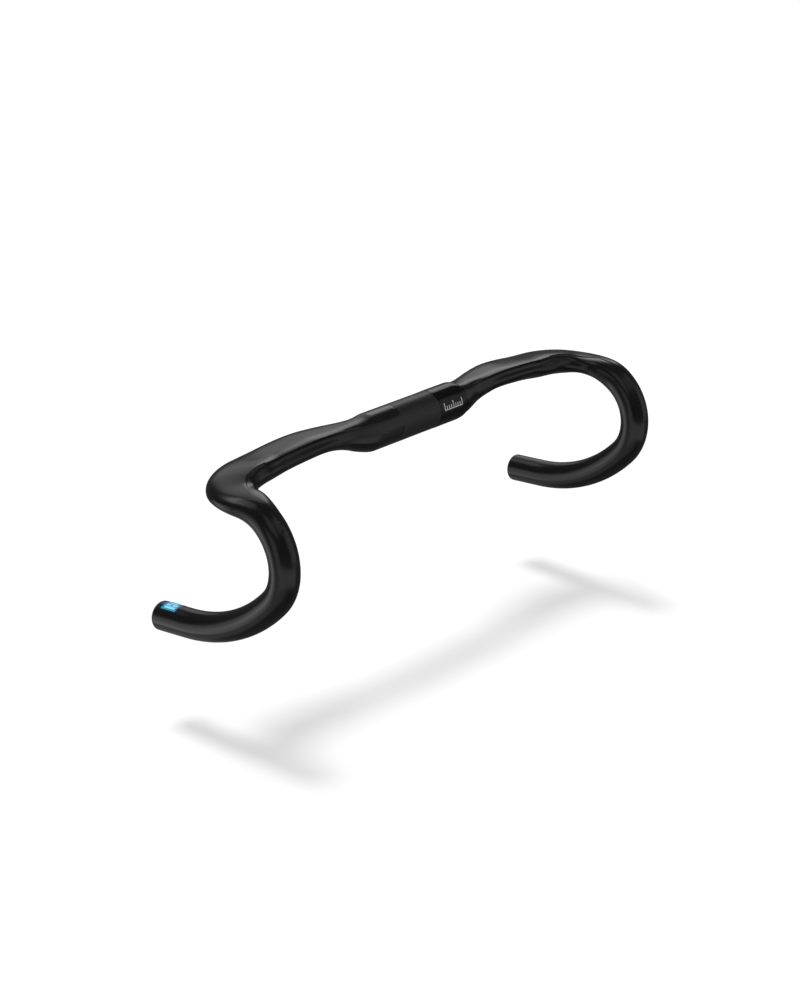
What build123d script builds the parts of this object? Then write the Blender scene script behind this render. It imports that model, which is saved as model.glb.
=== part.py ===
from build123d import *
import os
from math import cos, hypot, pi, radians, sin

os.makedirs("parts", exist_ok=True)

# Drop handlebar in bonded carbon: a winged top section, two hooked drops and an expander plug in each end.
# Millimetres and degrees. Origin: centre of the stem clamp. +X rider's right, +Y forward, +Z up.

# ---- Driving dimensions ----
CLAMP_RADIUS = 15.9        # 31.8 mm clamp
DROP_RADIUS = 11.9         # 23.8 mm lever and grip tube
WALL = 1.6                 # laminate
SPLICE = 160.0             # where each drop is bonded to the top section, along the centreline
SLEEVE_HALF = 15.0         # joint sleeve, each side of the splice
SLEEVE_WALL = 1.4
GLUE_GAP = 0.1
GRIP_HALF = 22.0           # rough band under the stem's faceplate
GRIP_DEPTH = 0.15
CLAMP_SLEEVE_HALF = 26.0   # stiffener inside the clamp
CLAMP_SLEEVE_WALL = 1.3
CAP_THICKNESS = 2.0        # the end cap's flange, outside the tube's end
FILM = 0.15                # decal and label, with the thin bed under them
FILM_BED = 0.05
DECAL_END = 55.0           # outer edge of the clamp decal

# Right half of the centreline, from the middle outwards. Each stretch turns evenly to the heading
# (0 = sideways, 90 = forward) and the fall (0 = level, 90 = straight down, 180 = backward) at its end.
STRETCHES = [
    # length, heading, fall
    (48.0, 0.0, 0.0),        # straight through the clamp
    (17.5, -8.0, -10.5),     # the wing leaves the clamp, back and up
    (23.5, -7.5, -5.0),
    (28.0, -5.5, 4.5),
    (32.0, -2.5, 8.5),       # hand rest
    (22.0, 9.0, 0.5),
    (30.0, 41.0, 4.0),       # corner of the tops
    (30.0, 87.5, 5.0),       # reach
    (10.0, 87.5, 17.0),
    (86.5, 92.0, 133.5),     # front of the hook
    (106.0, 91.5, 175.0),    # the drop opens out
    (31.5, 91.5, 175.0),     # straight end
]

# Outline of the tube along that line, clamp to drop. The wing's nose is the edge away from the rider.
SECTIONS = [
    # distance, half width, half height, nose up
    (48.0, CLAMP_RADIUS, CLAMP_RADIUS, 0.0),
    (58.0, 15.0, 14.0, 2.0),
    (70.0, 14.0, 11.5, 3.5),
    (90.0, 16.0, 9.0, 2.5),
    (120.0, 19.5, 9.0, 4.0),
    (150.0, 21.5, 9.5, 8.0),
    (175.0, 23.0, 10.0, 10.0),
    (197.0, 22.5, 9.5, 10.0),
    (216.0, 20.0, 8.0, 6.0),
    (234.0, 15.0, 9.5, 7.0),
    (255.0, DROP_RADIUS, DROP_RADIUS, 0.0),
]
# How square the wing's outline is: 0 is an ellipse, 1 the full wing shape.
SQUARENESS = [(48.0, 0.0), (90.0, 1.0), (200.0, 1.0), (255.0, 0.0)]
NOSE_TOP_POWER = 2.0       # flat top that ends in a shoulder over the nose
TAIL_TOP_POWER = 0.6
BELLY_POWER = 0.3

# The nose is set back on the inside of the corner, to give the hands room.
NOSE_SETBACK = [(175.0, 0.0), (212.0, 4.2), (240.0, 0.0)]

# Cable channel under the nose's shoulder. Past the corner it thins out along the inside of the hook.
CHANNEL = [
    # distance, angle up from the nose, half angle, depth
    (64.0, 24.0, 24.0, 0.0),
    (84.0, 24.0, 24.0, 1.8),
    (185.0, 25.0, 24.0, 1.8),
    (205.0, 32.0, 25.0, 1.5),
    (220.0, 43.0, 23.0, 1.0),
    (234.0, 53.0, 23.0, 0.6),
    (280.0, 54.0, 23.0, 0.6),
    (305.0, 54.0, 23.0, 0.0),
]

LENGTH = sum(stretch[0] for stretch in STRETCHES)
TUBE_END = LENGTH - CAP_THICKNESS
QUARTER_SPANS = 10
TINY = 1e-4
STEP = 0.5
RING_SPACING = 5.0


# ---- Shape of the bar ----
def ramp(table, x):
    """Straight-line value at x, level before the first row and after the last."""
    if x <= table[0][0]:
        return table[0][1]
    for (x0, y0), (x1, y1) in zip(table, table[1:]):
        if x <= x1:
            return y0 + (y1 - y0) * (x - x0) / (x1 - x0)
    return table[-1][1]


def smooth(table, column, x):
    """Value at x on a smooth curve through one column of a table, level at both ends."""
    xs = [row[0] for row in table]
    ys = [row[column] for row in table]
    slopes = [(b - a) / (q - p) for a, b, p, q in zip(ys, ys[1:], xs, xs[1:])]
    gaps = [q - p for p, q in zip(xs, xs[1:])]
    tangents = [0.0]
    for i in range(1, len(xs) - 1):
        tangents.append((slopes[i - 1] * gaps[i] + slopes[i] * gaps[i - 1]) / (gaps[i] + gaps[i - 1]))
    tangents.append(0.0)
    if x <= xs[0]:
        return ys[0]
    if x >= xs[-1]:
        return ys[-1]
    i = max(k for k in range(len(gaps)) if xs[k] <= x)
    t = (x - xs[i]) / gaps[i]
    return (
        (2 * t**3 - 3 * t**2 + 1) * ys[i]
        + (t**3 - 2 * t**2 + t) * gaps[i] * tangents[i]
        + (3 * t**2 - 2 * t**3) * ys[i + 1]
        + (t**3 - t**2) * gaps[i] * tangents[i + 1]
    )


def direction(s):
    """Heading and fall of the centreline, in radians, at distance s from the middle."""
    start = 0.0
    heading = fall = 0.0
    for length, next_heading, next_fall in STRETCHES:
        if s <= start + length:
            t = (s - start) / length
            heading += (next_heading - heading) * t
            fall += (next_fall - fall) * t
            return radians(heading), radians(fall)
        start += length
        heading, fall = next_heading, next_fall
    return radians(heading), radians(fall)


def walk_centreline():
    """Points of the right half of the centreline, one each STEP."""
    points = [Vector(0, 0, 0)]
    for i in range(round(LENGTH / STEP)):
        heading, fall = direction((i + 0.5) * STEP)
        ahead = Vector(cos(fall) * cos(heading), cos(fall) * sin(heading), -sin(fall))
        points.append(points[-1] + ahead * STEP)
    return points


CENTRELINE = walk_centreline()


def station(s):
    """Plane across the tube at distance s: x to the nose, y up out of the wing, z along the bar outwards."""
    heading, fall = direction(s)
    along = Vector(cos(fall) * cos(heading), cos(fall) * sin(heading), -sin(fall))
    level = Vector(-sin(heading), cos(heading), 0)
    tilt = radians(smooth(SECTIONS, 3, s))
    nose = level * cos(tilt) + along.cross(level) * sin(tilt)
    return Plane(origin=CENTRELINE[round(s / STEP)], x_dir=nose, z_dir=along)


def outline_point(s, angle, inset):
    """Point of the tube's outline in its station plane, inset from the outer skin."""
    square = ramp(SQUARENESS, s)
    c, d = cos(angle), sin(angle)
    if d < 0:
        power = 2 + BELLY_POWER * square
    elif c >= 0:
        power = 2 + NOSE_TOP_POWER * square
    else:
        power = 2 + TAIL_TOP_POWER * square
    swell = (abs(c) ** power + abs(d) ** power) ** (-1 / power)
    setback = smooth(NOSE_SETBACK, 1, s) if c > 0 else 0
    u = (smooth(SECTIONS, 1, s) - setback - inset) * c * swell
    v = (smooth(SECTIONS, 2, s) - inset) * d * swell
    off_channel = ((angle - radians(smooth(CHANNEL, 1, s)) + pi) % (2 * pi) - pi) / radians(smooth(CHANNEL, 2, s))
    depth = smooth(CHANNEL, 3, s) * max(0.0, 1 - off_channel**2) ** 2
    shrink = 1 - depth / hypot(u, v)
    return u * shrink, v * shrink


def skin_point(s, angle, inset):
    """Point of the tube's skin. A negative distance is on the left half."""
    plane = station(abs(s))
    u, v = outline_point(abs(s), angle, inset)
    point = plane.origin + plane.x_dir * u + plane.y_dir * v
    return Vector(-point.X, point.Y, point.Z) if s < 0 else point


def ring(s, inset=0.0):
    """Closed outline of the tube at distance s, as four smooth curves that meet at nose, top, tail and belly."""
    curves = []
    for quarter in range(4):
        angles = [pi / 2 * (quarter + i / QUARTER_SPANS) for i in range(QUARTER_SPANS + 1)]
        points = [skin_point(s, angle, inset) for angle in angles]
        tangents = []
        for angle in (angles[0], angles[-1]):
            ahead = skin_point(s, angle + TINY, inset) - skin_point(s, angle - TINY, inset)
            tangents.append(ahead * (pi / 2) / (2 * TINY))
        parameters = [i / QUARTER_SPANS for i in range(QUARTER_SPANS + 1)]
        curves.append(Edge.make_spline(points, tangents, parameters=parameters, scale=False))
    return Wire(curves)


def stations_between(start, end):
    count = round((end - start) / RING_SPACING)
    return [round((start + (end - start) * i / count) / STEP) * STEP for i in range(count + 1)]


def bar_tube(start, end, inset, wall):
    """Hollow stretch of the bar between two distances along it, cut square at both ends."""
    skin = []
    for depth in (inset, inset + wall):
        filled = Solid.make_loft([ring(s, depth) for s in stations_between(start, end)])
        skin += [face for face in filled.faces() if face.geom_type != GeomType.PLANE]
    for s in (start, end):
        skin.append(Face(ring(s, inset), [ring(s, inset + wall)]))
    return Solid(Shell(skin)).fix()


def ring_along_x(start, end, outer, inner):
    """Plain round ring about the X axis."""
    plane = Plane(origin=(start, 0, 0), x_dir=(0, 1, 0), z_dir=(1, 0, 0))
    disc = Circle(outer) - Circle(inner)
    return extrude(plane * disc, amount=end - start)


def mirrored(shape):
    return mirror(shape, about=Plane.YZ)


# ---- Carbon mouldings ----
def top_section():
    """Clamp and both wings in one hollow moulding, stepped down under the grip band."""
    tube = bar_tube(-SPLICE, SPLICE, 0.0, WALL)
    return tube - ring_along_x(-GRIP_HALF, GRIP_HALF, CLAMP_RADIUS + 1, CLAMP_RADIUS - GRIP_DEPTH)


def drop():
    """Right corner, hook and grip in one hollow moulding."""
    return bar_tube(SPLICE, TUBE_END, 0.0, WALL)


def joint_sleeve():
    """Oval sleeve bonded inside the right splice."""
    return bar_tube(SPLICE - SLEEVE_HALF, SPLICE + SLEEVE_HALF, WALL + GLUE_GAP, SLEEVE_WALL)


# ---- Clamp zone ----
def clamp_sleeve():
    outer = CLAMP_RADIUS - WALL - GLUE_GAP
    return ring_along_x(-CLAMP_SLEEVE_HALF, CLAMP_SLEEVE_HALF, outer, outer - CLAMP_SLEEVE_WALL)


def clamp_grip_band():
    return ring_along_x(-GRIP_HALF, GRIP_HALF, CLAMP_RADIUS, CLAMP_RADIUS - GRIP_DEPTH)


def left_clamp_decal():
    """Gloss film wrapped round the bar on the left of the grip band."""
    return bar_tube(-DECAL_END, -GRIP_HALF - 0.5, -FILM, FILM - FILM_BED)


# ---- Expander plug, drawn in the bar end: z points out of the tube, z = 0 is the tube's end ----
BORE_RADIUS = DROP_RADIUS - WALL
SPIGOT_RADIUS = BORE_RADIUS - 0.4
SPIGOT_LENGTH = 4.0
HEAD_RADIUS = 4.25
HEAD_SEAT = -0.8           # underside of the screw's head
HEAD_HEIGHT = 2.3
SOCKET_RADIUS = 1.75       # 3 mm hexagon
SHANK_RADIUS = 2.45        # M5, plain
SHANK_END = -24.5
SCREW_GAP = 0.25
WASHER_THICKNESS = 0.6
EXPANDER_TOP = -4.2
EXPANDER_END = -16.5
EXPANDER_RADIUS = 10.0
SLIT = 1.5
MOUTH_TOP = -9.0           # where the expander's cone starts
MOUTH_START_RADIUS = 3.4
MOUTH_SLOPE = 0.64
CONE_GAP = 0.4
NUT_TOP = -10.5
NUT_SHOULDER = -17.0
NUT_END = -21.5
NUT_RADIUS = 8.6
NUT_BORE = SHANK_RADIUS + 0.05
FIN = 1.0
RING_HEIGHT = -10.3
RING_THICKNESS = 1.7
RING_RADIUS = 9.05

BAR_END = Plane(
    origin=CENTRELINE[round(TUBE_END / STEP)],
    x_dir=station(TUBE_END).x_dir,
    z_dir=station(TUBE_END).z_dir,
)


def disc(radius, low, high):
    return extrude(Plane.XY.offset(low) * Circle(radius), amount=high - low)


def turned(points):
    """Solid of revolution about z from (radius, height) corners."""
    face = make_face(Polyline(*[(r, 0, z) for r, z in points], close=True))
    return revolve(face, axis=Axis.Z)


def mouth_radius(z):
    return MOUTH_START_RADIUS + MOUTH_SLOPE * (MOUTH_TOP - z)


def plug_cap():
    flange = disc(DROP_RADIUS, 0, CAP_THICKNESS)
    flange = fillet(flange.edges().group_by(Axis.Z)[-1], 1.2)
    counterbore = disc(HEAD_RADIUS + 0.35, HEAD_SEAT - WASHER_THICKNESS, CAP_THICKNESS)
    hole = disc(SHANK_RADIUS + SCREW_GAP, -SPIGOT_LENGTH, CAP_THICKNESS)
    return flange + disc(SPIGOT_RADIUS, -SPIGOT_LENGTH, 0) - counterbore - hole


def plug_washer():
    ring_face = Circle(HEAD_RADIUS) - Circle(SHANK_RADIUS + SCREW_GAP)
    return extrude(Plane.XY.offset(HEAD_SEAT - WASHER_THICKNESS) * ring_face, amount=WASHER_THICKNESS - 0.05)


def plug_screw():
    head = disc(HEAD_RADIUS, HEAD_SEAT, HEAD_SEAT + HEAD_HEIGHT)
    head = chamfer(head.edges().group_by(Axis.Z)[-1], 0.4)
    socket_floor = HEAD_SEAT + HEAD_HEIGHT - 1.7
    socket = extrude(Plane.XY.offset(socket_floor) * RegularPolygon(SOCKET_RADIUS, 6), amount=1.7)
    return head + disc(SHANK_RADIUS, SHANK_END, HEAD_SEAT) - socket


def plug_expander():
    """Three nylon jaws, hollowed to a cone at the inner end and grooved for their ring."""
    sleeve = disc(EXPANDER_RADIUS, EXPANDER_END, EXPANDER_TOP)
    end_radius = mouth_radius(EXPANDER_END)
    bore = SHANK_RADIUS + 0.75
    mouth = turned(
        [(0, EXPANDER_TOP), (bore, EXPANDER_TOP), (bore, MOUTH_TOP), (MOUTH_START_RADIUS, MOUTH_TOP),
         (end_radius, EXPANDER_END), (0, EXPANDER_END)]
    )
    half = RING_THICKNESS / 2 + 0.1
    groove = disc(EXPANDER_RADIUS + 1, RING_HEIGHT - half, RING_HEIGHT + half)
    groove -= disc(RING_RADIUS - half, RING_HEIGHT - half, RING_HEIGHT + half)
    sleeve = sleeve - mouth - groove
    middle = (EXPANDER_TOP + EXPANDER_END) / 2
    for turn in (0, 120, 240):
        cutter = Location((0, 0, middle), (0, 0, turn)) * Pos(EXPANDER_RADIUS, 0, 0)
        sleeve -= cutter * Box(2 * EXPANDER_RADIUS, SLIT, EXPANDER_TOP - EXPANDER_END + 1)
    return sleeve


def plug_retaining_ring():
    return Pos(0, 0, RING_HEIGHT) * Torus(RING_RADIUS, RING_THICKNESS / 2)


def plug_wedge_nut():
    """Cone drawn into the jaws, with three fins in their slits so that it can't turn."""
    nut = turned(
        [(NUT_BORE, NUT_TOP), (mouth_radius(NUT_TOP) - CONE_GAP, NUT_TOP),
         (mouth_radius(NUT_SHOULDER) - CONE_GAP, NUT_SHOULDER), (NUT_RADIUS, NUT_SHOULDER),
         (NUT_RADIUS, NUT_END), (NUT_BORE, NUT_END)]
    )
    fin_low, fin_high = NUT_SHOULDER - 1, NUT_SHOULDER + 4
    for turn in (0, 120, 240):
        place = Location((0, 0, (fin_low + fin_high) / 2), (0, 0, turn)) * Pos(6.5, 0, 0)
        nut += place * Box(4, FIN, fin_high - fin_low)
    return nut


def end_label():
    """Blue film on the upper side of the right drop's end."""
    outer, inner = DROP_RADIUS + FILM, DROP_RADIUS + FILM_BED
    length, gap = 16.0, 5.0
    sector = Plane.XY.offset(-gap - length) * (Circle(outer) - Circle(inner))
    wedge = Plane.XY.offset(-gap - length) * make_face(
        Polyline((0, 0), (-20 * sin(radians(35)), -20 * cos(radians(35))), (0, -30),
                 (20 * sin(radians(30)), -20 * cos(radians(30))), close=True)
    )
    return extrude(sector, amount=length) & extrude(wedge, amount=length)


# ---- Write every piece ----
def write(name, shape):
    shape.label = name
    export_step(shape, f"parts/{name}.step")


def write_pair(name, shape):
    """The right-hand piece, and its mirror image on the left."""
    write(f"right_{name}", shape)
    write(f"left_{name}", mirrored(shape))


write("top_section", top_section())
write("clamp_sleeve", clamp_sleeve())
write("clamp_grip_band", clamp_grip_band())
write("left_clamp_decal", left_clamp_decal())
write_pair("drop", drop())
write_pair("joint_sleeve", joint_sleeve())
write("right_end_label", BAR_END * end_label())
for piece_name, piece in [
    ("plug_cap", plug_cap()),
    ("plug_washer", plug_washer()),
    ("plug_screw", plug_screw()),
    ("plug_expander", plug_expander()),
    ("plug_retaining_ring", plug_retaining_ring()),
    ("plug_wedge_nut", plug_wedge_nut()),
]:
    write_pair(piece_name, BAR_END * piece)
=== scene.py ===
from math import cos, hypot, pi, radians, sin

import bpy
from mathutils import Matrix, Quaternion, Vector


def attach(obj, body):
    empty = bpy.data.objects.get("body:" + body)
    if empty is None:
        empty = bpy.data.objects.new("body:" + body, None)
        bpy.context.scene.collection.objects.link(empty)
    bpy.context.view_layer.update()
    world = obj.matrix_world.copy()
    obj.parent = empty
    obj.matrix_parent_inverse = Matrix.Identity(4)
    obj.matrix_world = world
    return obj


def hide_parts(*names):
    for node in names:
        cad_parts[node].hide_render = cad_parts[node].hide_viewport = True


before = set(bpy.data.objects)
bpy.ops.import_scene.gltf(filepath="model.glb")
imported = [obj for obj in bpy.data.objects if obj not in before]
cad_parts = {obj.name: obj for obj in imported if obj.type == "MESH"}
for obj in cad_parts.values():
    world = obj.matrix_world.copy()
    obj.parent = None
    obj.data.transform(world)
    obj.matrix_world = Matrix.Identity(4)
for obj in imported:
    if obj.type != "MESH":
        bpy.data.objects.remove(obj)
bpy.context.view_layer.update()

# ---- Carbon mouldings: top section and two drops ----
# Black unidirectional carbon laid up over bladders in three moulds, bonded at hidden sleeves, then filled,
# sanded and sprayed with one satin clear coat.
# Each skin is a flat sheet of squares wrapped on the bar's line.
MM = 0.001               # lengths below are in millimetres and angles in degrees
CLAMP_RADIUS = 15.9
DROP_RADIUS = 11.9
WALL = 1.6
SPLICE = 160.0           # from the middle of the clamp, along the bar
GRIP_HALF = 22.0         # the coated band is sunk into the clamp
GRIP_DEPTH = 0.15
CAP_THICKNESS = 2.0
STRETCHES = [            # length, heading and fall at its end, from the middle of the clamp outwards
    (48.0, 0.0, 0.0),
    (17.5, -8.0, -10.5),
    (23.5, -7.5, -5.0),
    (28.0, -5.5, 4.5),
    (32.0, -2.5, 8.5),
    (22.0, 9.0, 0.5),
    (30.0, 41.0, 4.0),
    (30.0, 87.5, 5.0),
    (10.0, 87.5, 17.0),
    (86.5, 92.0, 133.5),
    (106.0, 91.5, 175.0),
    (31.5, 91.5, 175.0),
]
SECTIONS = [             # distance, half width, half height, nose up
    (48.0, CLAMP_RADIUS, CLAMP_RADIUS, 0.0),
    (58.0, 15.0, 14.0, 2.0),
    (70.0, 14.0, 11.5, 3.5),
    (90.0, 16.0, 9.0, 2.5),
    (120.0, 19.5, 9.0, 4.0),
    (150.0, 21.5, 9.5, 8.0),
    (175.0, 23.0, 10.0, 10.0),
    (197.0, 22.5, 9.5, 10.0),
    (216.0, 20.0, 8.0, 6.0),
    (234.0, 15.0, 9.5, 7.0),
    (255.0, DROP_RADIUS, DROP_RADIUS, 0.0),
]
SQUARENESS = [(48.0, 0.0), (90.0, 1.0), (200.0, 1.0), (255.0, 0.0)]
NOSE_TOP_POWER = 2.0
TAIL_TOP_POWER = 0.6
BELLY_POWER = 0.3
NOSE_SETBACK = [(175.0, 0.0), (212.0, 4.2), (240.0, 0.0)]      # the inside of the corner, for the hands
CHANNEL = [              # distance, angle up from the nose, half angle and depth of the cable channel
    (64.0, 24.0, 24.0, 0.0),
    (84.0, 24.0, 24.0, 1.6),
    (185.0, 25.0, 24.0, 1.6),
    (205.0, 32.0, 25.0, 1.3),
    (220.0, 43.0, 23.0, 0.8),
    (234.0, 53.0, 23.0, 0.5),
    (280.0, 54.0, 23.0, 0.5),
    (305.0, 54.0, 23.0, 0.0),
]
SHOULDER_SHARE = 0.22    # parts of the channel's half angle taken by its steep and its easy side
LIP_SHARE = 1.3
CHANNEL_COLUMNS = 28
OTHER_COLUMNS = 84
RING_SPACING = 1.5
STEP = 0.5
BAR_LENGTH = sum(stretch[0] for stretch in STRETCHES)
TUBE_END = BAR_LENGTH - CAP_THICKNESS


def ramp(table, x):
    """Straight-line value at x, level before the first row and after the last."""
    if x <= table[0][0]:
        return table[0][1]
    for (x0, y0), (x1, y1) in zip(table, table[1:]):
        if x <= x1:
            return y0 + (y1 - y0) * (x - x0) / (x1 - x0)
    return table[-1][1]


def ease(x):
    """0 below 0, 1 above 1, and a smooth step between."""
    x = min(max(x, 0.0), 1.0)
    return x * x * (3 - 2 * x)


def smooth(table, column, x):
    """Value at x on a smooth curve through one column of a table, level at both ends."""
    xs = [row[0] for row in table]
    ys = [row[column] for row in table]
    if x <= xs[0]:
        return ys[0]
    if x >= xs[-1]:
        return ys[-1]
    gaps = [q - p for p, q in zip(xs, xs[1:])]
    slopes = [(b - a) / g for a, b, g in zip(ys, ys[1:], gaps)]
    tangents = [0.0]
    for i in range(1, len(xs) - 1):
        tangents.append((slopes[i - 1] * gaps[i] + slopes[i] * gaps[i - 1]) / (gaps[i] + gaps[i - 1]))
    tangents.append(0.0)
    i = max(k for k in range(len(gaps)) if xs[k] <= x)
    t = (x - xs[i]) / gaps[i]
    return (
        (2 * t**3 - 3 * t**2 + 1) * ys[i]
        + (t**3 - 2 * t**2 + t) * gaps[i] * tangents[i]
        + (3 * t**2 - 2 * t**3) * ys[i + 1]
        + (t**3 - t**2) * gaps[i] * tangents[i + 1]
    )


def direction(s):
    """Unit vector along the right half of the bar, and its heading, at distance s from the middle."""
    start = heading = fall = 0.0
    for length, next_heading, next_fall in STRETCHES:
        t = min(max((s - start) / length, 0.0), 1.0)
        heading += (next_heading - heading) * t
        fall += (next_fall - fall) * t
        start += length
        if s <= start:
            break
    h, f = radians(heading), radians(fall)
    return Vector((cos(f) * cos(h), cos(f) * sin(h), -sin(f))), h


CENTRELINE = [Vector((0, 0, 0))]
for i in range(round(BAR_LENGTH / STEP)):
    CENTRELINE.append(CENTRELINE[-1] + direction((i + 0.5) * STEP)[0] * STEP)


class Station:
    """The tube's outline at distance s along the bar; a negative distance is on the left half."""

    def __init__(self, s):
        self.left = s < 0
        self.s = s = abs(s)
        along, heading = direction(s)
        nose = Vector((-sin(heading), cos(heading), 0))
        up = along.cross(nose)
        tilt = radians(smooth(SECTIONS, 3, s))
        low = min(int(s / STEP), len(CENTRELINE) - 2)
        self.origin = CENTRELINE[low].lerp(CENTRELINE[low + 1], s / STEP - low)
        self.nose = nose * cos(tilt) + up * sin(tilt)
        self.up = up * cos(tilt) - nose * sin(tilt)
        self.half_width = smooth(SECTIONS, 1, s)
        self.nose_width = self.half_width - smooth(NOSE_SETBACK, 1, s)
        self.half_height = smooth(SECTIONS, 2, s)
        self.square = ramp(SQUARENESS, s)
        self.channel = radians(smooth(CHANNEL, 1, s))
        self.channel_half = radians(smooth(CHANNEL, 2, s))
        self.depth = smooth(CHANNEL, 3, s)

    def column_angle(self, column):
        """Angle of one of the sheet's lengthwise lines; the first few follow the channel."""
        half = self.channel_half
        if column <= CHANNEL_COLUMNS:
            return self.channel - half + 2 * half * column / CHANNEL_COLUMNS
        return self.channel + half + (2 * pi - 2 * half) * (column - CHANNEL_COLUMNS) / OTHER_COLUMNS

    def channel_depth(self, angle):
        """Steep under the shoulder, flat on its floor, and easing out at the lower lip."""
        x = ((angle - self.channel + pi) % (2 * pi) - pi) / self.channel_half
        return self.depth * ease((1 - x) / SHOULDER_SHARE) * ease((1 + x) / LIP_SHARE)

    def point(self, angle, raised=0.0):
        """Point of the skin in metres, raised above it by a distance in millimetres."""
        c, d = cos(angle), sin(angle)
        if d < 0:
            power = 2 + BELLY_POWER * self.square
        elif c >= 0:
            power = 2 + NOSE_TOP_POWER * self.square
        else:
            power = 2 + TAIL_TOP_POWER * self.square
        swell = (abs(c) ** power + abs(d) ** power) ** (-1 / power)
        u = ((self.nose_width if c >= 0 else self.half_width) + raised) * c * swell
        v = (self.half_height + raised) * d * swell
        shrink = 1 - self.channel_depth(angle) / hypot(u, v)
        place = self.origin + (self.nose * u + self.up * v) * shrink
        if self.left:
            place.x = -place.x
        return place * MM


def deselect():
    """Clears the selection, so that the next operator acts only on its own piece."""
    bpy.ops.object.select_all(action="DESELECT")


def apply_modifiers(piece):
    """Applies every modifier on the piece, in order."""
    deselect()
    bpy.context.view_layer.objects.active = piece
    piece.select_set(True)
    for modifier in list(piece.modifiers):
        bpy.ops.object.modifier_apply(modifier=modifier.name)


def wrapped_sheet(name, start, end, rings, columns, angle_of, raised):
    """A flat sheet of squares wrapped on the bar; 'laid' keeps each point's place on the unbent tube."""
    deselect()
    bpy.ops.mesh.primitive_grid_add(x_subdivisions=rings, y_subdivisions=columns, size=1)
    sheet = bpy.context.object
    sheet.name = sheet.data.name = name
    laid = sheet.data.attributes.new("laid", "FLOAT_VECTOR", "POINT")
    stations = {}
    for vertex, straight in zip(sheet.data.vertices, laid.data):
        ring = round((vertex.co.x + 0.5) * rings)
        column = round((vertex.co.y + 0.5) * columns)
        if ring not in stations:
            stations[ring] = Station(start + (end - start) * ring / rings)
        station = stations[ring]
        angle = angle_of(station, column)
        vertex.co = station.point(angle, raised(station))
        s = -station.s if station.left else station.s
        straight.vector = (s * MM, DROP_RADIUS * cos(angle) * MM, DROP_RADIUS * sin(angle) * MM)
    return sheet


def close_sheet(sheet):
    """Merges the sheet's two long edges and turns its faces outwards."""
    deselect()
    bpy.context.view_layer.objects.active = sheet
    sheet.select_set(True)
    bpy.ops.object.mode_set(mode="EDIT")
    bpy.ops.mesh.select_all(action="SELECT")
    bpy.ops.mesh.remove_doubles(threshold=1e-7)
    bpy.ops.mesh.normals_make_consistent(inside=False)
    bpy.ops.object.mode_set(mode="OBJECT")


def thicken(sheet, thickness):
    """Gives the sheet a wall inwards, with square rims."""
    wall = sheet.modifiers.new("wall", "SOLIDIFY")
    wall.thickness = thickness * MM
    wall.offset = -1
    apply_modifiers(sheet)
    bpy.ops.object.shade_smooth_by_angle(angle=radians(50))


def new_material(name):
    """Material with its Principled shader and its node tree."""
    material = bpy.data.materials.new(name)
    material.use_nodes = True
    tree = material.node_tree
    return material, tree, tree.nodes["Principled BSDF"]


def add_node(tree, kind, **settings):
    """Adds a shader node; a setting named like a socket sets the socket, any other sets the node."""
    node = tree.nodes.new(kind)
    for key, value in settings.items():
        if key in node.inputs:
            node.inputs[key].default_value = value
        else:
            setattr(node, key, value)
    return node


def noise_on(tree, vector, stretch, detail=3.0, rough=0.55):
    """Noise of about one unit, on a vector scaled by stretch."""
    mapping = add_node(tree, "ShaderNodeMapping", Scale=stretch)
    texture = add_node(tree, "ShaderNodeTexNoise", Scale=1.0, Detail=detail, Roughness=rough)
    tree.links.new(vector, mapping.inputs["Vector"])
    tree.links.new(mapping.outputs["Vector"], texture.inputs["Vector"])
    return texture.outputs["Fac"]


def between(tree, value, low, high):
    """A value of about 0.3 to 0.7 spread over low to high."""
    spread = add_node(tree, "ShaderNodeMapRange")
    spread.inputs["From Min"].default_value = 0.3
    spread.inputs["From Max"].default_value = 0.7
    spread.inputs["To Min"].default_value = low
    spread.inputs["To Max"].default_value = high
    tree.links.new(value, spread.inputs["Value"])
    return spread.outputs["Result"]


def two_tone(tree, value, dark, light):
    """Colour that goes from dark to light as the value rises."""
    ramp_node = add_node(tree, "ShaderNodeValToRGB")
    ramp_node.color_ramp.elements[0].position = 0.35
    ramp_node.color_ramp.elements[1].position = 0.68
    ramp_node.color_ramp.elements[0].color = (*dark, 1)
    ramp_node.color_ramp.elements[1].color = (*light, 1)
    tree.links.new(value, ramp_node.inputs["Fac"])
    return ramp_node.outputs["Color"]


def bump(tree, height, distance, strength, under=None):
    """Surface relief from a height, laid over another one where given."""
    node = add_node(tree, "ShaderNodeBump", Strength=strength, Distance=distance)
    tree.links.new(height, node.inputs["Height"])
    if under:
        tree.links.new(under, node.inputs["Normal"])
    return node.outputs["Normal"]


def carbon_clear_coat():
    """Fibres along the tube, barely seen through a black satin lacquer with a little orange peel."""
    material, tree, shader = new_material("carbon_satin")
    laid = add_node(tree, "ShaderNodeAttribute", attribute_name="laid").outputs["Vector"]
    fibres = noise_on(tree, laid, (45, 2600, 2600), detail=4)
    peel = noise_on(tree, laid, (700, 700, 700), detail=1)
    patches = noise_on(tree, laid, (28, 60, 60), detail=2)
    colour = two_tone(tree, fibres, (0.0015, 0.0015, 0.0016), (0.0045, 0.0045, 0.0048))
    tree.links.new(colour, shader.inputs["Base Color"])
    tree.links.new(between(tree, patches, 0.20, 0.27), shader.inputs["Roughness"])
    fine = bump(tree, fibres, 0.00002, 0.25)
    tree.links.new(bump(tree, peel, 0.00002, 0.5, fine), shader.inputs["Normal"])
    shader.inputs["Coat Weight"].default_value = 0.35
    shader.inputs["Coat Roughness"].default_value = 0.09
    return material


CARBON = carbon_clear_coat()


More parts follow.
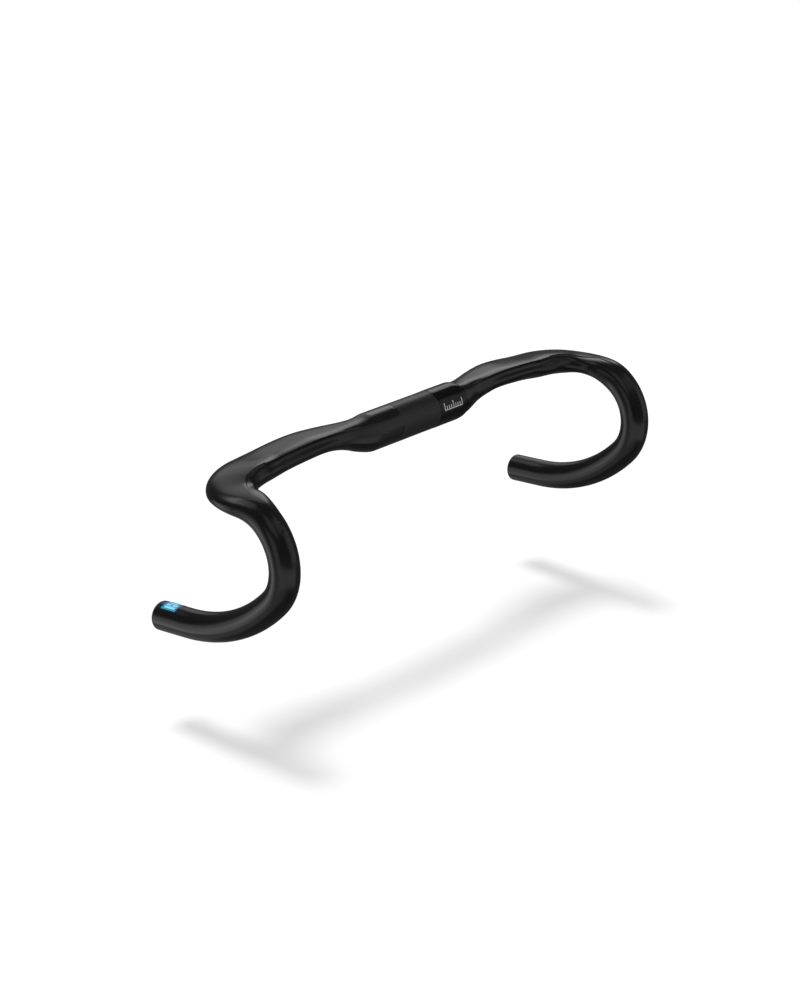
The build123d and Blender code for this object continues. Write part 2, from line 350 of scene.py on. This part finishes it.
def moulding(node, start, end):
    """The skin of one moulding, between two distances along the bar, in the place of its CAD node."""
    rings = round(abs(end - start) / RING_SPACING)
    columns = CHANNEL_COLUMNS + OTHER_COLUMNS

    def raised(station):
        return -GRIP_DEPTH if station.s < GRIP_HALF else 0.0

    skin = wrapped_sheet(f"{node}_skin", start, end, rings, columns, Station.column_angle, raised)
    close_sheet(skin)
    thicken(skin, WALL)
    skin.data.materials.clear()
    skin.data.materials.append(CARBON)
    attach(skin, "bar")
    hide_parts(node)


moulding("top_section", -SPLICE, SPLICE)
moulding("right_drop", SPLICE, TUBE_END)
moulding("left_drop", -SPLICE, -TUBE_END)

# ---- Rough band and gloss decal on the clamp ----
# The stem grips a fine anti-slip coat in the middle of the clamp. Its grey, lighter than the carbon, is
# partly the coat's own matte tone and partly a painted sheen that stands in for the overhead lights'
# reflection across the clamp. Left of it a gloss black film is wrapped round the tube, printed with a
# plain centring scale; the right side has a dim scale printed on the coat.
def surface(name, dark, light, roughness, grain_scale, relief, metal=0.0):
    """Material with fine grain in its colour and relief, and slow patches in its roughness."""
    material, tree, shader = new_material(name)
    place = add_node(tree, "ShaderNodeTexCoord").outputs["Object"]
    grain = noise_on(tree, place, grain_scale, detail=5)
    patches = noise_on(tree, place, (90, 90, 90), detail=3)
    tree.links.new(two_tone(tree, grain, dark, light), shader.inputs["Base Color"])
    tree.links.new(between(tree, patches, *roughness), shader.inputs["Roughness"])
    tree.links.new(bump(tree, grain, relief, 0.6), shader.inputs["Normal"])
    shader.inputs["Metallic"].default_value = metal
    return material


def dress(node, material):
    """A CAD piece carried over as it is, with its own finish."""
    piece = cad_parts[node]
    piece.data.materials.clear()
    piece.data.materials.append(material)


# Lighter than the carbon: partly the matte coat's own grey, partly painted sheen for the overhead
# reflection on the clamp.
grit_and_painted_sheen = surface(
    "grip_coat",
    (0.005, 0.005, 0.005),
    (0.016, 0.016, 0.016),
    (0.28, 0.38),
    (2600, 2600, 2600),
    0.00002,
)
dress("clamp_grip_band", grit_and_painted_sheen)

gloss_film = surface(
    "decal_film",
    (0.0008, 0.0008, 0.001),
    (0.0016, 0.0016, 0.002),
    (0.05, 0.11),
    (240, 240, 240),
    0.000004,
)
dress("left_clamp_decal", gloss_film)


def patch(name, start, end, low_angle, high_angle, raised):
    """A small printed patch on the skin, between two distances and two angles in degrees."""
    rows = max(2, round(abs(end - start) / 1.2))
    columns = max(2, round((high_angle - low_angle) / 4))

    def angle_of(station, column):
        return radians(low_angle + (high_angle - low_angle) * column / columns)

    return wrapped_sheet(name, start, end, rows, columns, angle_of, lambda station: raised)


def printed(name, patches, raised, material):
    """Joins patches of ink that lie a hair above the skin into one piece on the bar."""
    pieces = [patch(name, *place, raised) for place in patches]
    deselect()
    for piece in pieces:
        piece.select_set(True)
    bpy.context.view_layer.objects.active = pieces[0]
    bpy.ops.object.join()
    ink = bpy.context.object
    ink.name = ink.data.name = name
    bpy.ops.object.mode_set(mode="EDIT")
    bpy.ops.mesh.select_all(action="SELECT")
    bpy.ops.mesh.normals_make_consistent(inside=False)
    bpy.ops.object.mode_set(mode="OBJECT")
    bpy.ops.object.shade_smooth_by_angle(angle=radians(40))
    ink.data.materials.clear()
    ink.data.materials.append(material)
    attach(ink, "bar")


def scale_marks(side, first, count, short, long, width):
    """Ticks along the clamp, every fourth one longer, above a thin base line."""
    last = first + SCALE_PITCH * (count - 1)
    marks = []
    for i in range(count):
        s = first + SCALE_PITCH * i
        reach = long if i % 4 == 0 else short
        marks.append((side * (s - width / 2), side * (s + width / 2), SCALE_ANGLE, SCALE_ANGLE + reach))
    base = (side * (first - width / 2), side * (last + width / 2), SCALE_ANGLE - 3, SCALE_ANGLE - 0.5)
    marks.append(base)
    return marks


SCALE_PITCH = 2.6
SCALE_ANGLE = 8          # up from the front of the clamp
ON_SKIN = 0.03           # how far the ink lies above the bare skin, and above the skin where a film is
ON_FILM = 0.23
pale_ink = surface(
    "pale_ink",
    (0.30, 0.30, 0.31),
    (0.46, 0.46, 0.47),
    (0.30, 0.45),
    (900, 900, 900),
    0.00001,
)
dim_ink = surface(
    "dim_ink",
    (0.010, 0.010, 0.0105),
    (0.024, 0.024, 0.025),
    (0.35, 0.5),
    (900, 900, 900),
    0.00001,
)
printed("decal_scale", scale_marks(-1, 27.0, 9, 10, 20, 0.8), ON_FILM, pale_ink)
printed("clamp_scale", scale_marks(1, 38.0, 7, 8, 15, 0.6), ON_SKIN, dim_ink)

# ---- Lever scales and end label ----
# A dim printed scale on the front of each hook sets both levers level. The right end has a thin blue film
# label stuck on under the tube, with plain pale bars.
LEVER_SCALE_START = 262
LEVER_SCALE_PITCH = 4
for side, word in ((1, "right"), (-1, "left")):
    ticks = []
    for i in range(8):
        s = LEVER_SCALE_START + LEVER_SCALE_PITCH * i
        ticks.append((side * (s - 0.3), side * (s + 0.3), 84, 96 if i % 2 else 104))
    printed(f"{word}_lever_scale", ticks, ON_SKIN, dim_ink)

label_blue = surface(
    "label_film",
    (0.008, 0.20, 0.38),
    (0.02, 0.30, 0.50),
    (0.18, 0.3),
    (1500, 1500, 1500),
    0.00001,
)
dress("right_end_label", label_blue)

label_pale = surface(
    "label_ink",
    (0.16, 0.60, 0.84),
    (0.34, 0.74, 0.90),
    (0.2, 0.35),
    (1500, 1500, 1500),
    0.00001,
)
LABEL_BARS = [           # two distances along the bar, and two angles round it
    (444.0, 455.5, 242, 254),
    (444.0, 449.5, 257, 268),
    (451.0, 455.5, 257, 268),
    (446.0, 455.5, 271, 282),
]
printed("label_bars", LABEL_BARS, ON_FILM, label_pale)

# ---- End plugs ----
# Moulded black nylon cap with a plated screw that pulls a finned aluminium nut into three nylon jaws, so
# the jaws and a rubber ring press on the bore. The screw turns on a thin steel washer.
nylon = surface(
    "cap_nylon",
    (0.006, 0.006, 0.006),
    (0.014, 0.014, 0.014),
    (0.42, 0.58),
    (1800, 1800, 1800),
    0.00003,
)
jaw_nylon = surface(
    "jaw_nylon",
    (0.020, 0.020, 0.021),
    (0.034, 0.034, 0.036),
    (0.45, 0.6),
    (1400, 1400, 1400),
    0.00003,
)
rubber = surface(
    "ring_rubber",
    (0.004, 0.004, 0.004),
    (0.009, 0.009, 0.009),
    (0.65, 0.8),
    (2200, 2200, 2200),
    0.00003,
)
plated = surface(
    "plated_steel",
    (0.42, 0.43, 0.45),
    (0.62, 0.62, 0.62),
    (0.22, 0.38),
    (1200, 1200, 1200),
    0.00001,
    metal=1.0,
)
nut_alloy = surface(
    "nut_aluminium",
    (0.50, 0.51, 0.53),
    (0.66, 0.67, 0.69),
    (0.30, 0.45),
    (700, 700, 2600),
    0.00001,
    metal=1.0,
)
for word in ("right", "left"):
    dress(f"{word}_plug_cap", nylon)
    dress(f"{word}_plug_expander", jaw_nylon)
    dress(f"{word}_plug_retaining_ring", rubber)
    dress(f"{word}_plug_washer", plated)
    dress(f"{word}_plug_screw", plated)
    dress(f"{word}_plug_wedge_nut", nut_alloy)

# ---- Sleeves inside the bar ----
# Turned aluminium tubes bonded in the clamp and across each joint. None of them shows from outside.
turned = surface(
    "sleeve_aluminium",
    (0.48, 0.49, 0.50),
    (0.64, 0.65, 0.66),
    (0.35, 0.5),
    (300, 2600, 2600),
    0.00002,
    metal=1.0,
)
for node in ("clamp_sleeve", "right_joint_sleeve", "left_joint_sleeve"):
    dress(node, turned)

# ---- Studio: floor, lights and camera ----
# A white floor well below the bar, which hangs on threads, under a pale dome and one wide lamp. What the
# black coat mirrors is darker than the room: soft boxes behind and overhead, and a low panel in front.
FLOOR_HEIGHT = -0.215
MIRRORED = [             # azimuth, elevation, half width and half height in degrees, radiance
    (-42.0, 34.0, 24.0, 28.0, 0.50),
    (-54.0, 30.0, 16.0, 12.0, 1.30),
    (28.0, 58.0, 44.0, 18.0, 0.55),
    (15.0, 50.0, 34.0, 5.0, 1.60),
    (42.0, -16.0, 26.0, 26.0, 0.60),
    (38.0, -22.0, 9.0, 18.0, 1.10),
    (150.0, -26.0, 85.0, 17.0, 0.50),
    (60.0, -42.0, 110.0, 20.0, 0.28),
    (-138.0, 12.0, 32.0, 28.0, 0.36),
    (98.0, 0.0, 18.0, 20.0, 0.42),
    (128.0, 46.0, 28.0, 18.0, 0.38),
    (-160.0, 52.0, 45.0, 14.0, 0.34),
]
MIRRORED_ELSEWHERE = 0.07
ROOM_LIGHT = 0.85
LAMP_STRENGTH = 1.1
LAMP_WIDTH = radians(14)
LAMP_TURN = (radians(8.5), radians(2.6), 0)
CAMERA_PLACE = Vector((1.2592, 1.1697, 0.6291))
CAMERA_AIM = Vector((0.0238, 0.0120, -0.0625))
CAMERA_ROLL = radians(-0.458)
CAMERA_LENS = 81.25

deselect()
bpy.ops.mesh.primitive_plane_add(size=80, location=(0, 0, FLOOR_HEIGHT))
floor = bpy.context.object
floor.name = "floor"
floor_material, _, floor_shader = new_material("floor_white")
floor_shader.inputs["Base Color"].default_value = (0.9, 0.9, 0.9, 1)
floor_shader.inputs["Roughness"].default_value = 0.9
floor_shader.inputs["Specular IOR Level"].default_value = 0.0
floor.data.materials.append(floor_material)
floor.visible_glossy = False

world = bpy.data.worlds.new("studio")
bpy.context.scene.world = world
world.use_nodes = True
world.cycles.sampling_method = "NONE"
sky = world.node_tree


def calculate(operation, *values):
    """Math node on sockets or numbers, giving its output socket."""
    node = sky.nodes.new("ShaderNodeMath")
    node.operation = operation
    for socket, value in zip(node.inputs, values):
        if isinstance(value, float):
            socket.default_value = value
        else:
            sky.links.new(value, socket)
    return node.outputs[0]


def fade(distance, half):
    """1 at the middle of a soft box, falling smoothly to 0 at its edge."""
    node = add_node(sky, "ShaderNodeMapRange", interpolation_type="SMOOTHSTEP")
    node.inputs["From Min"].default_value = half * 0.55
    node.inputs["From Max"].default_value = half * 1.15
    node.inputs["To Min"].default_value = 1.0
    node.inputs["To Max"].default_value = 0.0
    sky.links.new(distance, node.inputs["Value"])
    return node.outputs["Result"]


look = add_node(sky, "ShaderNodeSeparateXYZ")
sky.links.new(add_node(sky, "ShaderNodeTexCoord").outputs["Generated"], look.inputs["Vector"])
around = calculate("ARCTAN2", look.outputs["X"], calculate("MULTIPLY", look.outputs["Y"], -1.0))
height = calculate("ARCSINE", look.outputs["Z"])
mirrored = calculate("ADD", MIRRORED_ELSEWHERE, 0.0)
for azimuth, elevation, half_width, half_height, radiance in MIRRORED:
    turn = calculate("WRAP", calculate("SUBTRACT", around, radians(azimuth)), pi, -pi)
    rise = calculate("SUBTRACT", height, radians(elevation))
    across = fade(calculate("ABSOLUTE", turn), radians(half_width))
    upright = fade(calculate("ABSOLUTE", rise), radians(half_height))
    soft_box = calculate("MULTIPLY", calculate("MULTIPLY", across, upright), radiance)
    mirrored = calculate("MAXIMUM", mirrored, soft_box)
rays = add_node(sky, "ShaderNodeLightPath")
room = calculate("MULTIPLY", rays.outputs["Is Diffuse Ray"], ROOM_LIGHT)
plain = calculate("MAXIMUM", rays.outputs["Is Camera Ray"], room)
sky.links.new(calculate("MAXIMUM", mirrored, plain), sky.nodes["Background"].inputs["Strength"])
sky.nodes["Background"].inputs["Color"].default_value = (1, 1, 1, 1)

lamp = bpy.data.objects.new("wide_lamp", bpy.data.lights.new("wide_lamp", "SUN"))
bpy.context.scene.collection.objects.link(lamp)
lamp.data.energy = LAMP_STRENGTH
lamp.data.angle = LAMP_WIDTH
lamp.rotation_euler = LAMP_TURN
lamp.visible_glossy = False

camera_data = bpy.data.cameras.new("camera")
camera = bpy.data.objects.new("camera", camera_data)
bpy.context.scene.collection.objects.link(camera)
camera_data.sensor_width = 36
camera_data.lens = CAMERA_LENS
camera.location = CAMERA_PLACE
towards_bar = (CAMERA_AIM - CAMERA_PLACE).to_track_quat("-Z", "Y")
camera.rotation_mode = "QUATERNION"
camera.rotation_quaternion = towards_bar @ Quaternion((0, 0, 1), CAMERA_ROLL)
bpy.context.scene.camera = camera
bpy.context.scene.view_settings.view_transform = "Standard"
